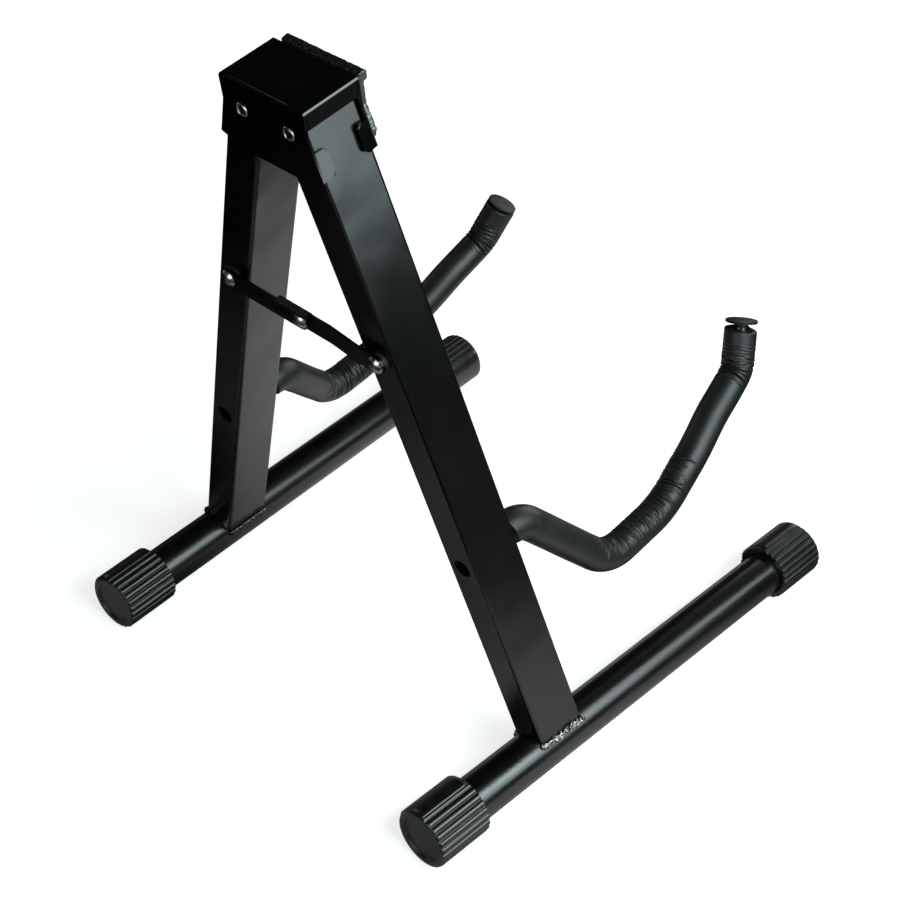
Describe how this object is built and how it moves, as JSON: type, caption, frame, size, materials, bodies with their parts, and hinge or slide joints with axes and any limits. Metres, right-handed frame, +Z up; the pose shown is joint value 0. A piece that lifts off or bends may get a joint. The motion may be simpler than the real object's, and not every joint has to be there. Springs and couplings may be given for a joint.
{
  "type": "folding guitar stand",
  "caption": "Folding A-frame guitar stand in black steel with foam-sleeved arms, a locking strut and ribbed rubber feet.",
  "frame": {"origin": "on the floor, under the middle of the open stand's bounding box", "axes": "+Z up; the arms reach towards -Y, so -Y is the front; +X is on the right as seen from the front, and X = 0 is the mirror plane"},
  "size_m": [0.3076, 0.318, 0.3887],
  "materials": {
    "black_steel": "satin black powder coat",
    "zinc": "bright zinc plate",
    "black_rubber": "satin moulded rubber",
    "arm_foam": "matte closed-cell foam",
    "head_pad": "coarse textured rubber foam",
    "black_plastic": "matte"
  },
  "bodies": {
    "head": {"head_bracket": "black_steel", "head_pad": "head_pad", "left_head_rivet": "zinc", "right_head_rivet": "zinc"},
    "left_side": {"left_leg": "black_steel", "left_base_tube": "black_steel", "left_leg_weld": "black_steel", "left_front_foot": "black_rubber", "left_rear_foot": "black_rubber", "left_arm_tube": "black_steel", "left_arm_foam": "arm_foam", "left_arm_plug": "black_rubber", "left_strut_washer": "black_plastic", "left_strut_rivet": "zinc"},
    "right_side": {"right_leg": "black_steel", "right_base_tube": "black_steel", "right_leg_weld": "black_steel", "right_front_foot": "black_rubber", "right_rear_foot": "black_rubber", "right_arm_tube": "black_steel", "right_arm_foam": "arm_foam", "right_arm_plug": "black_rubber", "right_strut_washer": "black_plastic", "right_strut_rivet_tail": "zinc"},
    "left_strut": {"left_strut_bar": "black_steel", "knee_rivet": "zinc"},
    "right_strut": {"right_strut_bar": "black_steel", "right_strut_rivet_head": "zinc"}
  },
  "joints": [
    {"name": "left_leg_fold", "type": "hinge", "parent": "head", "child": "left_side", "pos_m": [-0.0144, 0.11541, 0.37018], "axis": [0, -0.9877, 0.1564], "range_deg": [0, 16.8]},
    {"name": "right_leg_fold", "type": "hinge", "parent": "head", "child": "right_side", "pos_m": [0.0144, 0.11541, 0.37018], "axis": [0, 0.9877, -0.1564], "range_deg": [0, 16.8]},
    {"name": "left_bar_fold", "type": "hinge", "parent": "left_side", "child": "left_strut", "pos_m": [-0.04939, 0.11488, 0.25723], "axis": [0, -0.9877, 0.1564], "range_deg": [0, 54.76]},
    {"name": "knee_fold", "type": "hinge", "parent": "left_strut", "child": "right_strut", "pos_m": [0, 0.11488, 0.25723], "axis": [0, 0.9877, -0.1564], "range_deg": [0, 143.12]}
  ],
  "couplings": [
    {"joint": "right_leg_fold", "follows": "left_leg_fold", "ratio": 1},
    {"joint": "left_bar_fold", "follows": "left_leg_fold", "ratio": 3.2593},
    {"joint": "knee_fold", "follows": "left_leg_fold", "ratio": 8.5186}
  ]
}
